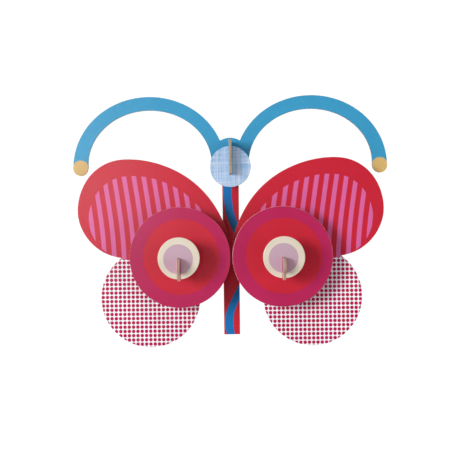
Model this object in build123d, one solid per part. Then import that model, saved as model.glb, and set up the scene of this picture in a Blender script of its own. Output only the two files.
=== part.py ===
from build123d import *
import os

# A butterfly for the wall, cut from printed card and slotted together without glue.
#
# Millimetres. +Z is up, +X is to the right seen from the front, and the front faces -Y.
# The origin is the centre of the hang hole, on the back face of the body board.
#
# Boards lie in the XZ plane, one behind another: small discs, big discs, wings, body.
# The cross beam holds the wings clear ahead of the body.
# Ribs lie in the YZ plane. A rib is pushed through its slots and slid down to lock.

# ---- card and slots ----
card = 2.0            # thickness of every board
play = 0.15           # a slot is this much wider and longer than what it takes
slot_width = card + play
lock_slide = 2.0      # how far a rib slides down to hook behind a board

# ---- layers: distance of each front face ahead of the body board's back ----
body_front = card
head_disc_front = 14.0
wing_back = 10.0
wing_front = wing_back + card
big_disc_front = wing_front + 12.0
small_disc_front = big_disc_front + 15.0
wall_gap = 6.0        # from the body board's back to the wall

# ---- discs and ribs ----
disc_x = 34.8         # the big and small discs share this centre, on both sides
disc_z = -51.7
big_disc_radius = 34.1
small_disc_radius = 13.85
head_disc_z = 10.2
head_disc_radius = 14.1
nose_height = 10.4    # rounded nose of a disc rib, ahead of the small disc
nose_length = 8.5
rib_foot = 15.0       # a disc rib reaches this far below the disc's centre
lip = 0.5             # and stands this far proud of the small disc below its nose
head_rib_front = 22.0
head_rib_bottom = 4.8
head_rib_top = 28.3

# ---- wings, given for the right-hand side ----
wing_outline = [
    (105.7, -20.1), (103.4, -6.3), (95.7, 6.3), (82.1, 14.7), (68.1, 16.1),
    (49.3, 12.7), (27.0, 1.1), (13.8, -12.5), (5.1, -28.0), (1.3, -45.8),
    (7.4, -58.6), (35.5, -59.6), (65.6, -53.6), (85.8, -49.1), (96.7, -41.2),
]
lower_wing_x = 55.9
lower_wing_z = -79.7
lower_wing_radius = 34.15

# ---- body board ----
head_z = 18.2
head_radius = 13.1
strip_top_width = 11.7
strip_foot_width = 11.1
strip_foot_z = -106.8
strip_waist = 8.0     # width left between the side notches that rest on the cross beam
hang_hole_radius = 2.0
antenna_outer = (56.64, 11.2, 53.45, 49.3)      # centre x, centre z, radius x, radius z
antenna_inner = (56.35, 13.1, 43.3, 37.95)
antenna_root_z = 15.0                           # where an antenna ends inside the head
antenna_tip_x = 105.0
antenna_tip_z = 10.9
antenna_tip_radius = 5.2

# ---- beam and spine behind the boards ----
beam_half_length = 58.0
tooth_x = (20.0, 52.0)      # beam teeth, on each side
tooth_width = 10.0
spine_top_z = -6.5
spine_foot_z = -95.5


def block(u_low, u_high, v_low, v_high):
    """Filled rectangle between two corners of a sketch plane."""
    centre = Pos((u_low + u_high) / 2, (v_low + v_high) / 2)
    return centre * Rectangle(u_high - u_low, v_high - v_low)


def upright_slot(x, z_low, z_high):
    """Slot in an XZ board for a rib at x."""
    return block(x - slot_width / 2, x + slot_width / 2, z_low - play, z_high + play)


def board(outline, front):
    """Card in the XZ plane with its front face this far ahead of the origin."""
    return extrude(Plane.XZ.offset(front) * outline, amount=-card)


def rib(outline, x):
    """Card in the YZ plane, centred on x."""
    return extrude(Plane.YZ.offset(x) * outline, amount=card / 2, both=True)


def body_board():
    """Antennae, head and long body strip, cut in one piece."""
    strip = make_face(Polyline(
        (-strip_top_width / 2, head_z),
        (strip_top_width / 2, head_z),
        (strip_foot_width / 2, strip_foot_z),
        (-strip_foot_width / 2, strip_foot_z),
        close=True,
    ))
    outline = strip + Pos(0, head_z) * Circle(head_radius)
    for side in (1, -1):
        outer_x, outer_z, outer_rx, outer_rz = antenna_outer
        inner_x, inner_z, inner_rx, inner_rz = antenna_inner
        band = Pos(side * outer_x, outer_z) * Ellipse(outer_rx, outer_rz)
        band -= Pos(side * inner_x, inner_z) * Ellipse(inner_rx, inner_rz)
        near_head = block(0, outer_x, antenna_root_z, 2 * outer_rz)
        near_tip = block(outer_x, 2 * outer_x, antenna_tip_z, 2 * outer_rz)
        kept = near_head + near_tip
        outline += band & (kept if side > 0 else mirror(kept, about=Plane.YZ))
        outline += Pos(side * antenna_tip_x, antenna_tip_z) * Circle(antenna_tip_radius)
        side_notch = Rectangle(strip_top_width - strip_waist, slot_width)
        outline -= Pos(side * strip_top_width / 2, disc_z) * side_notch
    outline -= Circle(hang_hole_radius)
    outline -= upright_slot(0, *head_slot)
    return board(outline, body_front)


def right_wing():
    """Egg-shaped upper wing and round lower wing, cut in one piece."""
    outline = make_face(Spline(*wing_outline, periodic=True))
    outline += Pos(lower_wing_x, lower_wing_z) * Circle(lower_wing_radius)
    outline -= upright_slot(disc_x, *wing_slot)
    for x in tooth_x:
        outline -= Pos(x, disc_z) * Rectangle(tooth_width + play, slot_width)
    return board(outline, wing_front)


def right_big_disc():
    """Big disc with the closed slot that its rib hooks into."""
    outline = Pos(disc_x, disc_z) * Circle(big_disc_radius)
    outline -= upright_slot(disc_x, *big_disc_slot)
    return board(outline, big_disc_front)


def right_small_disc():
    """Small disc, slotted from its foot to its centre so that it sits on its rib."""
    outline = Pos(disc_x, disc_z) * Circle(small_disc_radius)
    outline -= upright_slot(disc_x, disc_z - 2 * small_disc_radius, disc_z)
    return board(outline, small_disc_front)


def head_disc():
    """Face disc, slotted from its top to half way down the head rib."""
    outline = Pos(0, head_disc_z) * Circle(head_disc_radius)
    outline -= upright_slot(0, head_lap_z, head_disc_z + 2 * head_disc_radius)
    return board(outline, head_disc_front)


def disc_rib(x):
    """Rib that carries a small disc and a big disc ahead of a wing."""
    small_back = card - small_disc_front
    big_back = card - big_disc_front
    nose_radius = nose_height / 2
    nose_middle = nose_radius - small_disc_front - nose_length
    outline = Pos(nose_middle, disc_z - nose_radius) * Circle(nose_radius)
    outline += block(nose_middle, -small_disc_front, disc_z - nose_height, disc_z)
    outline += block(-small_disc_front - lip, small_back, disc_z - rib_foot, disc_z)
    outline += block(small_back, -big_disc_front, disc_z - 13, disc_z + 10)
    outline += neck(-big_disc_front, big_back, big_disc_slot)
    outline += tail(big_back, -wing_front, big_disc_slot)
    outline += neck(-wing_front, -wing_back, wing_slot)
    outline += tail(-wing_back, wall_gap, wing_slot)
    outline -= block(card, wall_gap, disc_z - slot_width / 2, disc_z + slot_width / 2)
    return rib(outline, x)


def head_rib():
    """Rib that carries the face disc, hooked through the head of the body board."""
    disc_back = card - head_disc_front
    outline = block(-head_rib_front, -body_front, head_rib_bottom, head_rib_top)
    outline -= block(
        -head_disc_front - play / 2, disc_back + play / 2, head_rib_bottom, head_lap_z + play
    )
    outline += neck(-body_front, 0, head_slot)
    outline += tail(0, wall_gap, head_slot)
    return rib(outline, 0)


def neck(y_low, y_high, slot):
    """Part of a rib inside a board's slot, with room above it for the locking slide."""
    return block(y_low, y_high, slot[0], slot[1] - lock_slide)


def tail(y_low, y_high, slot):
    """Part of a rib behind a board, as tall as the slot and hooked below it."""
    return block(y_low, y_high, slot[0] - lock_slide, slot[1] - lock_slide)


def cross_beam():
    """Level beam behind the boards that joins both wings, both disc ribs, body and spine."""
    waist_slot = strip_waist + play
    outline = block(-beam_half_length, beam_half_length, -wing_back, wall_gap)
    outline -= block(-waist_slot / 2, waist_slot / 2, -wing_back, 0)
    outline -= block(-slot_width / 2, slot_width / 2, 0, wall_gap / 2)
    for side in (1, -1):
        for x in tooth_x:
            middle = side * x
            outline += block(middle - tooth_width / 2, middle + tooth_width / 2, -wing_front, 0)
        rib_x = side * disc_x
        outline -= block(rib_x - slot_width / 2, rib_x + slot_width / 2, -wing_back, card)
    return extrude(Plane.XY.offset(disc_z) * outline, amount=card / 2, both=True)


def spine():
    """Upright stiffener, lapped with the cross beam and held in by the body strip ahead of it."""
    outline = block(0, wall_gap, spine_foot_z, spine_top_z)
    outline -= block(
        wall_gap / 2, wall_gap, disc_z - slot_width / 2, disc_z + slot_width / 2
    )
    return rib(outline, 0)


# ---- closed slots, as lowest and highest Z ----
big_disc_slot = (disc_z - 10, disc_z + 10)
wing_slot = (disc_z - 8, disc_z + 8)
head_slot = (8.5, 24.0)
head_lap_z = (head_rib_bottom + head_disc_z + head_disc_radius) / 2    # disc and rib meet here

parts = {
    "body_board": body_board(),
    "head_disc": head_disc(),
    "head_rib": head_rib(),
    "cross_beam": cross_beam(),
    "spine": spine(),
}
right_hand = {
    "wing": right_wing(),
    "big_disc": right_big_disc(),
    "small_disc": right_small_disc(),
    "disc_rib": disc_rib(disc_x),
}
for name, piece in right_hand.items():
    parts[name + "_right"] = piece
    parts[name + "_left"] = mirror(piece, about=Plane.YZ)

os.makedirs("parts", exist_ok=True)
for name, piece in parts.items():
    export_step(piece, f"parts/{name}.step")
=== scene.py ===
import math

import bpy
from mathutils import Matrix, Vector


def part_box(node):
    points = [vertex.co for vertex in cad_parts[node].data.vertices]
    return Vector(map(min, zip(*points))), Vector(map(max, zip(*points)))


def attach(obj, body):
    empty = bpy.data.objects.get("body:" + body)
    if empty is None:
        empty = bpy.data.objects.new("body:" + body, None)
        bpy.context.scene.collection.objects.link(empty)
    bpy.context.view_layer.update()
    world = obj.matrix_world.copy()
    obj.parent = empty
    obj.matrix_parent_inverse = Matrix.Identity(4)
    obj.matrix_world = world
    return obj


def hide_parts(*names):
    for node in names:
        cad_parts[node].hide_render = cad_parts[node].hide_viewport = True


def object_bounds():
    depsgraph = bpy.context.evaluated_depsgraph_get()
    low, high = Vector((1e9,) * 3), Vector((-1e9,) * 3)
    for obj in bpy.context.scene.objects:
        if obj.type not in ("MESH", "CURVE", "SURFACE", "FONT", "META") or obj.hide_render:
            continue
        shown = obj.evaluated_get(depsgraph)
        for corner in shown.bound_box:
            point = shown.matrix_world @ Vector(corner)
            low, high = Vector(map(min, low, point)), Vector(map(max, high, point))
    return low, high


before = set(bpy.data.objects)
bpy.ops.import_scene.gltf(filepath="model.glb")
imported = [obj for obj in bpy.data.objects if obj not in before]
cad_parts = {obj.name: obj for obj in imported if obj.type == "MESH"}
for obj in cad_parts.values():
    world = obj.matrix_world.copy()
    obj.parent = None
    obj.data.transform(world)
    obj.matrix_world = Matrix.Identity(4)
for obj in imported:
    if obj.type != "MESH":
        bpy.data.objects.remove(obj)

# A butterfly for the wall, of printed card boards slotted together.
# Every board is the CAD board with a softly crushed rim. The beam and the spine are plain,
# and all other boards are printed on both faces.
# Prints are laid out in millimetres from the hang hole: +X right, +Z up, front towards -Y.

cad_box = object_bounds()
MM = 0.001

# ---- camera, aimed at the middle of the wings ----
VIEW_CENTRE = Vector((-0.7, -4.0, -33.5)) * MM
EYE_DISTANCE = 600 * MM
EYE_RISE = 3 * MM
NEAREST_SEEN = 10 * MM
LENS_MM = 67.1
CAMERA_ROLL = math.radians(-0.68)

# ---- studio, in metres: a dim room, with softboxes to the left and right, above and behind ----
LAMP_DISTANCE = 2.4
SOFTBOXES = [      # name, degrees left of the camera, degrees up, size, watts
    ("left_softbox", 44, 9, 0.95, 49.0),
    ("small_softbox", 12.5, 4, 0.45, 2.6),
    ("right_softbox", -60, 0, 1.20, 17.0),
    ("top_softbox", 20, 68, 1.20, 14.0),
    ("back_softbox", 212, 15, 1.20, 24.0),
]
FRONT_FILL = 0.11        # what matt print gets from the room ahead of it
BACK_FILL = 0.12         # and from the room behind it
MIRRORED_FILL = 0.02     # the same dark room, as the varnish mirrors it
BACKDROP_WHITE = 1.05
FLOOR_SIZE = 12.0
FLOOR_DROP = 0.7
FLOOR_GLOW = 0.98        # seen by the camera alone, so that the floor runs into the backdrop
FLOOR_GREY = (0.58, 0.58, 0.58, 1)
FLOOR_PALE = (0.62, 0.62, 0.62, 1)

# ---- card ----
RIM = 0.32 * MM
RIM_STEPS = 3
SAME_POINT = 0.001 * MM
FOLD = 0.06 * MM                     # slivers finer than this, left where rims meet, are closed up
FLAT_TO_FLAT = math.radians(0.5)     # neighbours this level with each other become one face
CORNER = math.radians(50)            # edges sharper than this get a rim
SMOOTH_BELOW = math.radians(35)
FLAT_FACE = 0.999                    # faces this square to the thickness are shaded dead flat
VARNISH_ROUGHNESS = 0.25
EDGE_ROUGHNESS = 0.4                 # how much rougher the cut edge is than the varnish
INK_MOTTLE = 0.06
RIM_WEAR = 0.5
WING_WEAR = 0.3
DISC_WEAR = 0.9


def srgb(red, green, blue):
    """Scene colour of a 0-255 swatch."""
    def linear(value):
        value /= 255
        return value / 12.92 if value <= 0.04045 else ((value + 0.055) / 1.055) ** 2.4
    return (linear(red), linear(green), linear(blue), 1.0)


BLUE = srgb(60, 151, 193)
GOLD = srgb(212, 177, 112)
RED = srgb(196, 37, 55)
PINK = srgb(212, 100, 157)
MAGENTA = srgb(179, 35, 85)
CREAM = srgb(218, 207, 188)
MAUVE = srgb(190, 160, 174)
WHITE = srgb(241, 241, 248)
DOT = srgb(180, 10, 72)
RIBBON = srgb(20, 111, 178)
STRIP = srgb(198, 34, 52)
THREAD_BLUE = srgb(136, 176, 215)
THREAD_PALE = srgb(200, 213, 233)
KRAFT = srgb(160, 141, 106)
KRAFT_DARK = srgb(128, 108, 82)
KRAFT_PINK = srgb(196, 162, 152)
LINING = srgb(236, 214, 208)
RIB_PINK = srgb(228, 92, 150)

# ---- prints, in millimetres from the hang hole ----
DISC = (34.8, -51.7)           # centre of the right-hand discs
RED_SPOT_SHIFT = (0.8, 0.5)
RED_SPOT_RADIUS = 25.75
MAUVE_SPOT_SHIFT = (-0.35, -0.45)
MAUVE_SPOT_RADIUS = 9.86
DOT_PITCH = 2.96
DOT_RADIUS = 1.26
DOT_FIRST_ROW = -31.68
TIP = (105.0, 10.9)
TIP_RADIUS = 5.6
RED_STRIP_TOP = 3.0
THREAD_PITCH = 1.2
BLEED = 0.08                   # half the width over which a printed edge fades

# Stripes cross the height STRIPE_LEVEL at even steps, lean towards the body below it, and
# bend back further down.
STRIPE_PITCH = 6.81
STRIPE_WIDTH = 3.16
STRIPE_BLEED = 0.07
STRIPE_START = 4.96
STRIPE_LEVEL = 1.07
STRIPE_LEAN = -0.155
STRIPE_BEND = 1.575e-5

# The red print ends on a curve, lowest at SEAM_MIDDLE and cut off at SEAM_TOP.
SEAM_MIDDLE = 61.2
SEAM_LOWEST = -54.1
SEAM_CURVE = 0.0069
SEAM_TOP = -45.8
SEAM_BLEED = 0.06

RIBBON_WIDTH = 5.8
RIBBON_SWING = 15.0            # the course stays within this of the strip's middle
RIBBON_COURSE = [              # height and distance right of the strip's middle
    (-107, -0.7), (-100, -1.9), (-93, -1.4), (-87, 0.5), (-79, 4.3), (-70, 8.8), (-56, 12.0),
    (-42, 8.2), (-35, 4.6), (-27, 1.3), (-21, -0.6), (-13, -1.8), (-7, -2.1), (3, -1.2),
]
STRIP_BLEED = 0.05

WING_OUTLINE = [               # the right upper wing, as it is cut
    (105.7, -20.1), (103.4, -6.3), (95.7, 6.3), (82.1, 14.7), (68.1, 16.1),
    (49.3, 12.7), (27.0, 1.1), (13.8, -12.5), (5.1, -28.0), (1.3, -45.8),
    (7.4, -58.6), (35.5, -59.6), (65.6, -53.6), (85.8, -49.1), (96.7, -41.2),
]
FIELD_SCALE = 0.85             # the striped field is the outline, shrunk and shifted
FIELD_SHIFT = (8.29, -9.14)
FIELD_CENTRE = (61.2, -26.1)
FIELD_REACH = 60.0             # no part of the field is further than this from its centre


# ---------------------------------------------------------------- node tools

GRID_COLUMNS = 24
GRID_STEP = (180, -260)
MIX_SHARE, MIX_UNDER, MIX_OVER = 0, 6, 7     # the Mix node's sockets for colour
MIX_RESULT = 2


def connect(tree, socket, value):
    """Give a socket a link or a plain value."""
    if isinstance(value, bpy.types.NodeSocket):
        tree.links.new(value, socket)
    elif value is not None:
        socket.default_value = value


def add(tree, kind, inputs=(), **settings):
    """A new node. Inputs are given in order or by name, each a link or a plain value."""
    node = tree.nodes.new("ShaderNode" + kind)
    row, column = divmod(len(tree.nodes), GRID_COLUMNS)
    node.location = (column * GRID_STEP[0], row * GRID_STEP[1])
    for name, value in settings.items():
        setattr(node, name, value)
    named = inputs.items() if isinstance(inputs, dict) else enumerate(inputs)
    for key, value in named:
        connect(tree, node.inputs[key], value)
    return node


def maths(tree, operation, *values):
    return add(tree, "Math", values, operation=operation).outputs[0]


def vectors(tree, operation, *values):
    output = "Value" if operation in ("LENGTH", "DISTANCE", "DOT_PRODUCT") else "Vector"
    return add(tree, "VectorMath", values, operation=operation).outputs[output]


def times(tree, vector, factor):
    """A vector made longer by a factor."""
    return add(tree, "VectorMath", {0: vector, "Scale": factor}, operation="SCALE").outputs[0]


def blend(tree, share, under, over, blend_type="MIX"):
    """Colour over laid on colour under, by share."""
    node = add(tree, "Mix", data_type="RGBA", blend_type=blend_type)
    for key, value in ((MIX_SHARE, share), (MIX_UNDER, under), (MIX_OVER, over)):
        connect(tree, node.inputs[key], value)
    return node.outputs[MIX_RESULT]


def ramp(tree, value, low, high):
    """Smooth step from 0 at low to 1 at high."""
    return add(tree, "MapRange", (value, low, high), interpolation_type="SMOOTHSTEP").outputs[0]


def noise(tree, place, scale, detail=2.0, roughness=0.5):
    inputs = {"Vector": place, "Scale": scale, "Detail": detail, "Roughness": roughness}
    return add(tree, "TexNoise", inputs).outputs["Fac"]


def curve(tree, value, points):
    """Smooth curve through points whose coordinates run from 0 to 1."""
    node = add(tree, "FloatCurve", {"Value": value})
    line = node.mapping.curves[0]
    while len(line.points) < len(points):
        line.points.new(0.5, 0.5)
    for point, (across, up) in zip(line.points, points):
        point.location = (across, up)
        point.handle_type = "AUTO"
    node.mapping.update()
    return node.outputs[0]


def new_group(name, inputs, outputs):
    """An empty node group, with its input and output sockets."""
    tree = bpy.data.node_groups.new(name, "ShaderNodeTree")
    for label, kind, default in inputs:
        socket = tree.interface.new_socket(
            label, in_out="INPUT", socket_type="NodeSocket" + kind)
        if default is not None:
            socket.default_value = default
    for label, kind in outputs:
        tree.interface.new_socket(label, in_out="OUTPUT", socket_type="NodeSocket" + kind)
    taken = tree.nodes.new("NodeGroupInput").outputs
    given = tree.nodes.new("NodeGroupOutput").inputs
    return tree, taken, given


def place_group(tree, group, inputs):
    """A node group placed in a material, with its own values."""
    return add(tree, "Group", inputs, node_tree=group).outputs


# ---------------------------------------------------------------- shared groups

def inked(tree, flat, reach, radius, scale, bleed, sharp):
    """1 within radius and 0 outside it, with an edge where the ink has bled unevenly."""
    ragged = maths(tree, "MULTIPLY", noise(tree, flat, scale), bleed)
    inside = maths(tree, "SUBTRACT", radius, maths(tree, "ADD", reach, ragged))
    return ramp(tree, inside, low=-bleed, high=sharp)


def round_print_group():
    """A printed round spot: 1 inside, 0 outside."""
    tree, taken, given = new_group(
        "round_print",
        [("Place", "Vector", None), ("Centre", "Vector", None), ("Radius", "Float", 10.0)],
        [("Mask", "Float")])
    flat = vectors(tree, "MULTIPLY", taken["Place"], (1, 0, 1))
    reach = vectors(tree, "DISTANCE", flat, taken["Centre"])
    spot = inked(tree, flat, reach, taken["Radius"], scale=4.0, bleed=0.12, sharp=0.06)
    tree.links.new(spot, given["Mask"])
    return tree


def dot_print_group():
    """A square lattice of printed dots."""
    tree, taken, given = new_group(
        "dot_print",
        [("Place", "Vector", None), ("First", "Vector", None),
         ("Pitch", "Float", 3.0), ("Radius", "Float", 1.0)],
        [("Mask", "Float")])
    half_cell = (0.5, 0, 0.5)
    flat = vectors(tree, "MULTIPLY", taken["Place"], (1, 0, 1))
    moved = vectors(tree, "SUBTRACT", flat, taken["First"])
    cells = times(tree, moved, maths(tree, "DIVIDE", 1.0, taken["Pitch"]))
    cell = vectors(tree, "FRACTION", vectors(tree, "ADD", cells, half_cell))
    off_centre = vectors(tree, "LENGTH", vectors(tree, "SUBTRACT", cell, half_cell))
    reach = maths(tree, "MULTIPLY", off_centre, taken["Pitch"])
    dots = inked(tree, flat, reach, taken["Radius"], scale=3.0, bleed=0.1, sharp=0.08)
    tree.links.new(dots, given["Mask"])
    return tree


def card_surface_group():
    """Printed card under satin varnish: fibre flecks, uneven ink and varnish, faint ripple."""
    tree, taken, given = new_group(
        "card_surface",
        [("Place", "Vector", None), ("Print", "Color", (1, 1, 1, 1)),
         ("Mottle", "Float", INK_MOTTLE), ("Varnish", "Float", VARNISH_ROUGHNESS)],
        [("Color", "Color"), ("Roughness", "Float"), ("Height", "Float")])
    place = taken["Place"]
    cloud = noise(tree, place, scale=0.055, detail=3.0)
    fibre = noise(tree, place, scale=2.2, detail=4.0, roughness=0.7)
    drawn_out = vectors(tree, "MULTIPLY", place, (0.6, 0.6, 3.2))
    long_fibre = noise(tree, drawn_out, scale=1.0, detail=3.0)

    cloud_share, fibre_share, long_fibre_share = 0.5, 0.3, 0.2
    uneven = maths(tree, "MULTIPLY", cloud, cloud_share)
    uneven = maths(tree, "MULTIPLY_ADD", fibre, fibre_share, uneven)
    uneven = maths(tree, "MULTIPLY_ADD", long_fibre, long_fibre_share, uneven)
    mottle_gain = 4.0
    strength = maths(tree, "MULTIPLY", taken["Mottle"], mottle_gain)
    tone = maths(tree, "MULTIPLY_ADD", maths(tree, "SUBTRACT", uneven, 0.5), strength, 1.0)
    shade = add(tree, "CombineColor", (tone, tone, tone)).outputs[0]
    tree.links.new(blend(tree, 1.0, taken["Print"], shade, "MULTIPLY"), given["Color"])

    most_change = 0.05
    change = maths(tree, "MULTIPLY", maths(tree, "ADD", cloud, fibre), most_change)
    change = maths(tree, "SUBTRACT", change, most_change)
    tree.links.new(maths(tree, "ADD", taken["Varnish"], change), given["Roughness"])

    ripple_depth, grain_depth = 0.12, 0.012
    ripple = maths(tree, "MULTIPLY", noise(tree, place, scale=0.035, detail=1.0), ripple_depth)
    grain = maths(tree, "MULTIPLY", maths(tree, "ADD", fibre, long_fibre), grain_depth)
    tree.links.new(maths(tree, "ADD", ripple, grain), given["Height"])
    return tree


def cut_edge_group():
    """The board's cut edge: pressed grey-brown layers between two pale facing sheets."""
    tree, taken, given = new_group(
        "cut_edge",
        [("Place", "Vector", None), ("Across", "Vector", (0, 1, 0)), ("Middle", "Float", 0.0)],
        [("Color", "Color"), ("Height", "Float")])
    place = taken["Place"]
    rate_along, more_across = 0.7, 4.5      # layers change fast across the board, slowly along it
    rates = vectors(tree, "ADD", times(tree, taken["Across"], more_across), (rate_along,) * 3)
    layered = vectors(tree, "MULTIPLY", place, rates)
    layered = noise(tree, layered, scale=1.0, detail=4.0, roughness=0.65)
    patch = noise(tree, place, scale=0.35, detail=3.0)

    darkest, pinkest, palest = 0.38, 0.5, 0.85
    dark = maths(tree, "MULTIPLY", ramp(tree, layered, low=0.35, high=0.7), darkest)
    core = blend(tree, dark, KRAFT, KRAFT_DARK)
    pink = maths(tree, "MULTIPLY", ramp(tree, patch, low=0.50, high=0.75), pinkest)
    core = blend(tree, pink, core, KRAFT_PINK)

    lining_starts, lining_full = 0.70, 0.80      # millimetres from the middle of the thickness
    depth = vectors(tree, "DOT_PRODUCT", place, taken["Across"])
    from_middle = maths(tree, "ABSOLUTE", maths(tree, "SUBTRACT", depth, taken["Middle"]))
    raggedness = 0.12
    ragged = maths(tree, "MULTIPLY_ADD", patch, raggedness, from_middle)
    lining = ramp(tree, ragged, low=lining_starts, high=lining_full)
    colour = blend(tree, maths(tree, "MULTIPLY", lining, palest), core, LINING)
    tree.links.new(colour, given["Color"])

    layer_depth = 0.08
    tree.links.new(maths(tree, "MULTIPLY", layered, layer_depth), given["Height"])
    return tree


def worn_rim_group():
    """How much print is left and how bare the board is, from the flat face to the cut edge."""
    tree, taken, given = new_group(
        "worn_rim",
        [("Place", "Vector", None), ("Facing", "Float", 1.0), ("Wear", "Float", RIM_WEAR)],
        [("Print", "Float"), ("Bare", "Float")])
    patch_strength, wear_strength = 0.7, 0.4
    patchy = noise(tree, taken["Place"], scale=0.9, detail=4.0, roughness=0.7)
    rub = maths(tree, "MULTIPLY", maths(tree, "SUBTRACT", patchy, 0.5), patch_strength)
    lost = maths(tree, "MULTIPLY", taken["Wear"], wear_strength)
    kept = maths(tree, "ADD", maths(tree, "SUBTRACT", taken["Facing"], lost), rub)
    tree.links.new(ramp(tree, kept, low=0.12, high=0.5), given["Print"])
    tree.links.new(ramp(tree, taken["Facing"], low=0.97, high=0.6), given["Bare"])
    return tree


def woven_print_group():
    """Printed cloth: pale threads of uneven strength crossing each other."""
    tree, taken, given = new_group(
        "woven_print",
        [("Place", "Vector", None), ("Thread", "Float", 0.5)],
        [("Tone", "Float")])
    fine_strength, thick_strength, crossing_strength = 1.9, 0.5, 0.12
    upright = ((0.8, 0, 0.03), (0.33, 0, 0.01))      # how fast fine and thick threads change
    level = ((0.03, 0, 0.8), (0.01, 0, 0.33))
    scaled = times(tree, taken["Place"], maths(tree, "DIVIDE", 1.0, taken["Thread"]))
    tone = 0.5
    for fine_rate, thick_rate in (upright, level):
        fine = noise(tree, vectors(tree, "MULTIPLY", scaled, fine_rate), scale=1.0, roughness=0.8)
        fine = maths(tree, "SUBTRACT", fine, 0.5)
        thick = vectors(tree, "MULTIPLY", scaled, thick_rate)
        thick = ramp(tree, noise(tree, thick, scale=1.0, detail=1.0), low=0.63, high=0.67)
        tone = maths(tree, "MULTIPLY_ADD", fine, fine_strength, tone)
        tone = maths(tree, "MULTIPLY_ADD", thick, thick_strength, tone)
    crossing = add(tree, "TexChecker", {"Vector": scaled, "Scale": 1.0}).outputs["Fac"]
    crossing = maths(tree, "SUBTRACT", crossing, 0.5)
    tone = maths(tree, "MULTIPLY_ADD", crossing, crossing_strength, tone)
    tree.links.new(ramp(tree, tone, low=0.0, high=1.0), given["Tone"])
    return tree


ROUND_PRINT = round_print_group()
DOT_PRINT = dot_print_group()
CARD_SURFACE = card_surface_group()
CUT_EDGE = cut_edge_group()
WORN_RIM = worn_rim_group()
WOVEN_PRINT = woven_print_group()


# ---------------------------------------------------------------- materials

def start_material(name):
    """An empty material, and the place of a point in millimetres."""
    material = bpy.data.materials.new(name)
    material.use_nodes = True
    tree = material.node_tree
    tree.nodes.clear()
    position = add(tree, "TexCoord").outputs["Object"]
    return material, tree, times(tree, position, 1 / MM)


def sheet_of(node):
    """The direction of a board's thickness, and where its middle lies along it in millimetres."""
    low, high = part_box(node)
    spans = [high[axis] - low[axis] for axis in range(3)]
    thin = spans.index(min(spans))
    across = tuple(float(axis == thin) for axis in range(3))
    return across, (low[thin] + high[thin]) / 2 / MM


def finish_card(tree, place, print_colour, node, wear=RIM_WEAR):
    """Printed faces, worn rims and cut edges, for the board of this name."""
    across, middle = sheet_of(node)
    normal = add(tree, "NewGeometry").outputs["True Normal"]
    facing = maths(tree, "ABSOLUTE", vectors(tree, "DOT_PRODUCT", normal, across))
    face = place_group(tree, CARD_SURFACE, {
        "Place": place, "Print": print_colour,
        "Mottle": INK_MOTTLE, "Varnish": VARNISH_ROUGHNESS})
    edge = place_group(tree, CUT_EDGE, {"Place": place, "Across": across, "Middle": middle})
    rim = place_group(tree, WORN_RIM, {"Place": place, "Facing": facing, "Wear": wear})
    colour = blend(tree, rim["Print"], edge["Color"], face["Color"])
    rough = maths(tree, "MULTIPLY_ADD", rim["Bare"], EDGE_ROUGHNESS, face["Roughness"])
    height = maths(tree, "MULTIPLY_ADD", edge["Height"], rim["Bare"], face["Height"])
    bump = add(tree, "Bump", {"Strength": 0.6, "Distance": MM, "Height": height})
    shader = add(tree, "BsdfPrincipled", {
        "Base Color": colour, "Roughness": rough, "Normal": bump.outputs["Normal"],
        "IOR": 1.5, "Specular IOR Level": 0.45})
    out = add(tree, "OutputMaterial")
    tree.links.new(shader.outputs[0], out.inputs["Surface"])


def plain_card(node, colour):
    """Card of one colour on both faces."""
    material, tree, place = start_material(node + "_card")
    finish_card(tree, place, colour, node)
    return material


def ringed_card(node, side, spot, ring, radius, shift):
    """Card printed with one round spot on a ring of another colour."""
    material, tree, place = start_material(node + "_card")
    centre = (side * DISC[0] + shift[0], 0, DISC[1] + shift[1])
    mask = place_group(tree, ROUND_PRINT, {"Place": place, "Centre": centre, "Radius": radius})
    finish_card(tree, place, blend(tree, mask["Mask"], ring, spot), node, wear=DISC_WEAR)
    return material


def field_radius(tree, angle):
    """Reach of the striped field from its centre, by direction."""
    rays = []
    for x, z in WING_OUTLINE:
        across = FIELD_SCALE * x + FIELD_SHIFT[0] - FIELD_CENTRE[0]
        up = FIELD_SCALE * z + FIELD_SHIFT[1] - FIELD_CENTRE[1]
        turn = math.atan2(up, across) / (2 * math.pi) + 0.5
        rays.append((turn, math.hypot(across, up) / FIELD_REACH))
    rays.sort()
    (first_turn, first_reach), (last_turn, last_reach) = rays[0], rays[-1]
    gap = first_turn + 1 - last_turn
    seam = last_reach + (first_reach - last_reach) * (1 - last_turn) / gap
    points = [(0.0, seam)] + rays + [(1.0, seam)]
    return maths(tree, "MULTIPLY", curve(tree, angle, points), FIELD_REACH)


def striped_field(tree, out_from_body, height):
    """1 on the stripes' shrunken copy of the upper wing, 0 on its border."""
    across = maths(tree, "SUBTRACT", out_from_body, FIELD_CENTRE[0])
    up = maths(tree, "SUBTRACT", height, FIELD_CENTRE[1])
    turn = maths(tree, "DIVIDE", maths(tree, "ARCTAN2", up, across), 2 * math.pi)
    square = maths(tree, "MULTIPLY", up, up)
    reach = maths(tree, "SQRT", maths(tree, "MULTIPLY_ADD", across, across, square))
    edge = field_radius(tree, maths(tree, "ADD", turn, 0.5))
    return ramp(tree, maths(tree, "SUBTRACT", edge, reach), low=-BLEED, high=BLEED)


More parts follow.
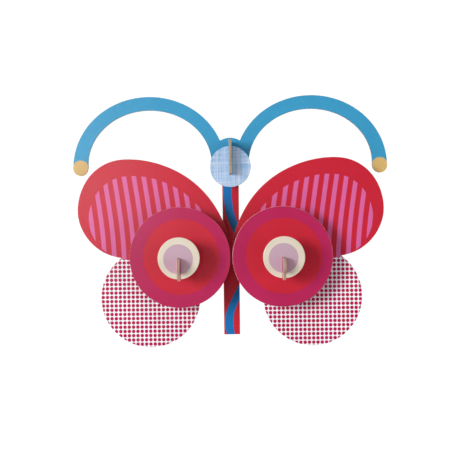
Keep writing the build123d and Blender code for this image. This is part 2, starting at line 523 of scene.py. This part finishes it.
def leaning_stripes(tree, out_from_body, height):
    """1 on the stripes, 0 between them."""
    drop = maths(tree, "SUBTRACT", STRIPE_LEVEL, height)
    cubed = maths(tree, "POWER", maths(tree, "ABSOLUTE", drop), 3.0)
    signed = maths(tree, "MULTIPLY", cubed, maths(tree, "SIGN", drop))
    bend = maths(tree, "MULTIPLY", signed, STRIPE_BEND)
    lean = maths(tree, "MULTIPLY_ADD", drop, STRIPE_LEAN, bend)
    along = maths(tree, "SUBTRACT", out_from_body, lean)
    turns = maths(tree, "DIVIDE", maths(tree, "SUBTRACT", along, STRIPE_START), STRIPE_PITCH)
    swing = maths(tree, "SUBTRACT", maths(tree, "FRACT", maths(tree, "ADD", turns, 0.5)), 0.5)
    off_centre = maths(tree, "MULTIPLY", maths(tree, "ABSOLUTE", swing), STRIPE_PITCH)
    half = STRIPE_WIDTH / 2
    return ramp(tree, off_centre, low=half + STRIPE_BLEED, high=half - STRIPE_BLEED)


def below_seam(tree, out_from_body, height):
    """1 on the dotted lower wing, 0 on the upper wing."""
    aside = maths(tree, "SUBTRACT", out_from_body, SEAM_MIDDLE)
    bow = maths(tree, "MULTIPLY", maths(tree, "MULTIPLY", aside, aside), SEAM_CURVE)
    seam = maths(tree, "MINIMUM", maths(tree, "ADD", bow, SEAM_LOWEST), SEAM_TOP)
    return ramp(tree, maths(tree, "SUBTRACT", seam, height), low=-SEAM_BLEED, high=SEAM_BLEED)


def wing_card():
    """Red border round a field of leaning pink stripes, and magenta dots on the lower wing."""
    material, tree, place = start_material("wing_card")
    parts = add(tree, "SeparateXYZ", [place]).outputs
    height = parts["Z"]
    out_from_body = maths(tree, "ABSOLUTE", parts["X"])
    stripes = leaning_stripes(tree, out_from_body, height)
    field = striped_field(tree, out_from_body, height)
    upper = blend(tree, maths(tree, "MULTIPLY", field, stripes), RED, PINK)
    dots = place_group(tree, DOT_PRINT, {
        "Place": place, "First": (0, 0, DOT_FIRST_ROW), "Pitch": DOT_PITCH, "Radius": DOT_RADIUS})
    lower = blend(tree, dots["Mask"], WHITE, DOT)
    print_colour = blend(tree, below_seam(tree, out_from_body, height), upper, lower)
    finish_card(tree, place, print_colour, "wing_right", wear=WING_WEAR)
    return material


def winding_ribbon(tree, x, z):
    """1 on the ribbon that winds down the strip, 0 beside it."""
    low, high = RIBBON_COURSE[0][0], RIBBON_COURSE[-1][0]
    span = 2 * RIBBON_SWING
    points = [((up - low) / (high - low), (aside + RIBBON_SWING) / span)
              for up, aside in RIBBON_COURSE]
    along = maths(tree, "DIVIDE", maths(tree, "SUBTRACT", z, low), high - low)
    middle = maths(tree, "MULTIPLY_ADD", curve(tree, along, points), span, -RIBBON_SWING)
    off_centre = maths(tree, "ABSOLUTE", maths(tree, "SUBTRACT", x, middle))
    half = RIBBON_WIDTH / 2
    return ramp(tree, off_centre, low=half + BLEED, high=half - BLEED)


def body_card():
    """Blue antennae and head, gold tips, and a red strip with a winding blue ribbon."""
    material, tree, place = start_material("body_card")
    parts = add(tree, "SeparateXYZ", [place]).outputs
    strip = blend(tree, winding_ribbon(tree, parts["X"], parts["Z"]), STRIP, RIBBON)

    # Both tips are printed from the right-hand one, at the same height.
    unsigned = vectors(tree, "ABSOLUTE", place)
    upright = maths(tree, "SIGN", parts["Z"])
    signs = add(tree, "CombineXYZ", (1.0, 1.0, upright)).outputs[0]
    folded = vectors(tree, "MULTIPLY", unsigned, signs)
    tip = place_group(tree, ROUND_PRINT, {
        "Place": folded, "Centre": (TIP[0], 0, TIP[1]), "Radius": TIP_RADIUS})
    head = blend(tree, tip["Mask"], BLUE, GOLD)

    is_strip = ramp(tree, parts["Z"], low=RED_STRIP_TOP + STRIP_BLEED,
                    high=RED_STRIP_TOP - STRIP_BLEED)
    finish_card(tree, place, blend(tree, is_strip, head, strip), "body_board")
    return material


def woven_card():
    """Pale blue card printed to look like plain cloth."""
    material, tree, place = start_material("woven_card")
    weave = place_group(tree, WOVEN_PRINT, {"Place": place, "Thread": THREAD_PITCH})
    finish_card(tree, place, blend(tree, weave["Tone"], THREAD_BLUE, THREAD_PALE), "head_disc")
    return material


# ---------------------------------------------------------------- pieces

def only(piece):
    """Select this piece alone and make it active."""
    bpy.ops.object.select_all(action="DESELECT")
    piece.select_set(True)
    bpy.context.view_layer.objects.active = piece


def merge_facets(piece):
    """Join the CAD board's loose triangles into whole flat faces."""
    only(piece)
    bpy.ops.object.mode_set(mode="EDIT")
    bpy.ops.mesh.select_all(action="SELECT")
    bpy.ops.mesh.remove_doubles(threshold=SAME_POINT)
    bpy.ops.mesh.dissolve_limited(angle_limit=FLAT_TO_FLAT)
    bpy.ops.object.mode_set(mode="OBJECT")


def crush_rim(piece):
    """Round the rims a little, as the die leaves them, and close up the slivers between them."""
    rim = piece.modifiers.new("rim", "BEVEL")
    rim.width = RIM
    rim.segments = RIM_STEPS
    rim.limit_method = "ANGLE"
    rim.angle_limit = CORNER
    bpy.ops.object.modifier_apply(modifier="rim")
    bpy.ops.object.mode_set(mode="EDIT")
    bpy.ops.mesh.select_all(action="SELECT")
    bpy.ops.mesh.remove_doubles(threshold=FOLD)
    bpy.ops.mesh.dissolve_degenerate(threshold=FOLD)
    bpy.ops.object.mode_set(mode="OBJECT")


def card_piece(node, material):
    """The CAD board with clean faces and a rim that the die has softly crushed."""
    piece = bpy.data.objects.new(node + "_card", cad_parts[node].data.copy())
    bpy.context.collection.objects.link(piece)
    merge_facets(piece)
    crush_rim(piece)
    bpy.ops.object.shade_smooth_by_angle(angle=SMOOTH_BELOW)
    across = Vector(sheet_of(node)[0])
    for face in piece.data.polygons:
        if abs(face.normal.dot(across)) > FLAT_FACE:
            face.use_smooth = False
    piece.data.materials.clear()
    piece.data.materials.append(material)
    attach(piece, "root")
    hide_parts(node)


def make_butterfly():
    """The thirteen boards. Both wings share one material, because they lie in one plane."""
    wing = wing_card()
    card_piece("body_board", body_card())
    card_piece("head_disc", woven_card())
    card_piece("head_rib", plain_card("head_rib", BLUE))
    for node in ("spine", "cross_beam"):
        card_piece(node, plain_card(node, KRAFT))
    for side, hand in ((1, "right"), (-1, "left")):
        card_piece(f"wing_{hand}", wing)
        big = f"big_disc_{hand}"
        red_on_magenta = ringed_card(big, side, RED, MAGENTA, RED_SPOT_RADIUS, RED_SPOT_SHIFT)
        card_piece(big, red_on_magenta)
        small = f"small_disc_{hand}"
        mauve_on_cream = ringed_card(small, side, MAUVE, CREAM, MAUVE_SPOT_RADIUS, MAUVE_SPOT_SHIFT)
        card_piece(small, mauve_on_cream)
        rib = f"disc_rib_{hand}"
        card_piece(rib, plain_card(rib, RIB_PINK))


# ---------------------------------------------------------------- studio

def make_camera():
    """Straight ahead of the wings, with the small roll of a hand-set tripod."""
    data = bpy.data.cameras.new("studio_camera")
    data.lens = LENS_MM
    data.clip_start = NEAREST_SEEN
    camera = bpy.data.objects.new("studio_camera", data)
    bpy.context.collection.objects.link(camera)
    camera.location = VIEW_CENTRE + Vector((0, -EYE_DISTANCE, EYE_RISE))
    look = (VIEW_CENTRE - camera.location).to_track_quat("-Z", "Y").to_matrix().to_4x4()
    roll = look.Rotation(CAMERA_ROLL, 4, "Z")
    camera.rotation_euler = (look @ roll).to_euler()
    bpy.context.scene.camera = camera


def softbox(name, left, up, size, watts):
    """A square softbox aimed at the wings."""
    data = bpy.data.lights.new(name, "AREA")
    data.shape = "SQUARE"
    data.size = size
    data.energy = watts
    lamp = bpy.data.objects.new(name, data)
    bpy.context.collection.objects.link(lamp)
    swing, rise = math.radians(left), math.radians(up)
    level = LAMP_DISTANCE * math.cos(rise)
    lamp.location = VIEW_CENTRE + Vector((
        -level * math.sin(swing), -level * math.cos(swing), LAMP_DISTANCE * math.sin(rise)))
    lamp.rotation_euler = (VIEW_CENTRE - lamp.location).to_track_quat("-Z", "Y").to_euler()


def make_room():
    """A dim room for the light, with a white backdrop for the camera."""
    world = bpy.data.worlds.new("white_room")
    world.use_nodes = True
    tree = world.node_tree
    tree.nodes.clear()
    path = add(tree, "LightPath").outputs
    towards = add(tree, "TexCoord").outputs["Object"]
    ahead = vectors(tree, "DOT_PRODUCT", towards, (0, -1, 0))
    front = ramp(tree, ahead, low=-0.1, high=0.3)
    room = maths(tree, "MULTIPLY_ADD", front, FRONT_FILL - BACK_FILL, BACK_FILL)
    matt = maths(tree, "SUBTRACT", 1.0, path["Is Glossy Ray"])
    mirrored = maths(tree, "MULTIPLY", path["Is Glossy Ray"], MIRRORED_FILL)
    fill = maths(tree, "MULTIPLY_ADD", room, matt, mirrored)
    unseen = maths(tree, "SUBTRACT", 1.0, path["Is Camera Ray"])
    backdrop = maths(tree, "MULTIPLY", path["Is Camera Ray"], BACKDROP_WHITE)
    strength = maths(tree, "MULTIPLY_ADD", fill, unseen, backdrop)
    sky = add(tree, "Background", {"Color": (1, 1, 1, 1), "Strength": strength})
    out = add(tree, "OutputWorld")
    tree.links.new(sky.outputs[0], out.inputs["Surface"])
    bpy.context.scene.world = world


def make_floor():
    """A wide pale floor well below the butterfly."""
    height = cad_box[0][2] - FLOOR_DROP
    bpy.ops.object.select_all(action="DESELECT")
    bpy.ops.mesh.primitive_plane_add(size=FLOOR_SIZE, location=(0, 0, height))
    floor = bpy.context.object
    floor.name = "studio_floor"
    bpy.ops.object.transform_apply(location=True, rotation=True, scale=True)
    material, tree, place = start_material("studio_floor")
    tone = ramp(tree, noise(tree, place, scale=0.002, detail=3.0), low=0.3, high=0.7)
    colour = blend(tree, tone, FLOOR_GREY, FLOOR_PALE)
    glow = maths(tree, "MULTIPLY", add(tree, "LightPath").outputs["Is Camera Ray"], FLOOR_GLOW)
    shader = add(tree, "BsdfPrincipled", {
        "Base Color": colour, "Roughness": 0.8, "Specular IOR Level": 0.0,
        "Emission Color": (1, 1, 1, 1), "Emission Strength": glow})
    out = add(tree, "OutputMaterial")
    tree.links.new(shader.outputs[0], out.inputs["Surface"])
    floor.data.materials.append(material)


make_camera()
for lamp in SOFTBOXES:
    softbox(*lamp)
make_room()
make_floor()
make_butterfly()
bpy.context.scene.view_settings.view_transform = "Standard"
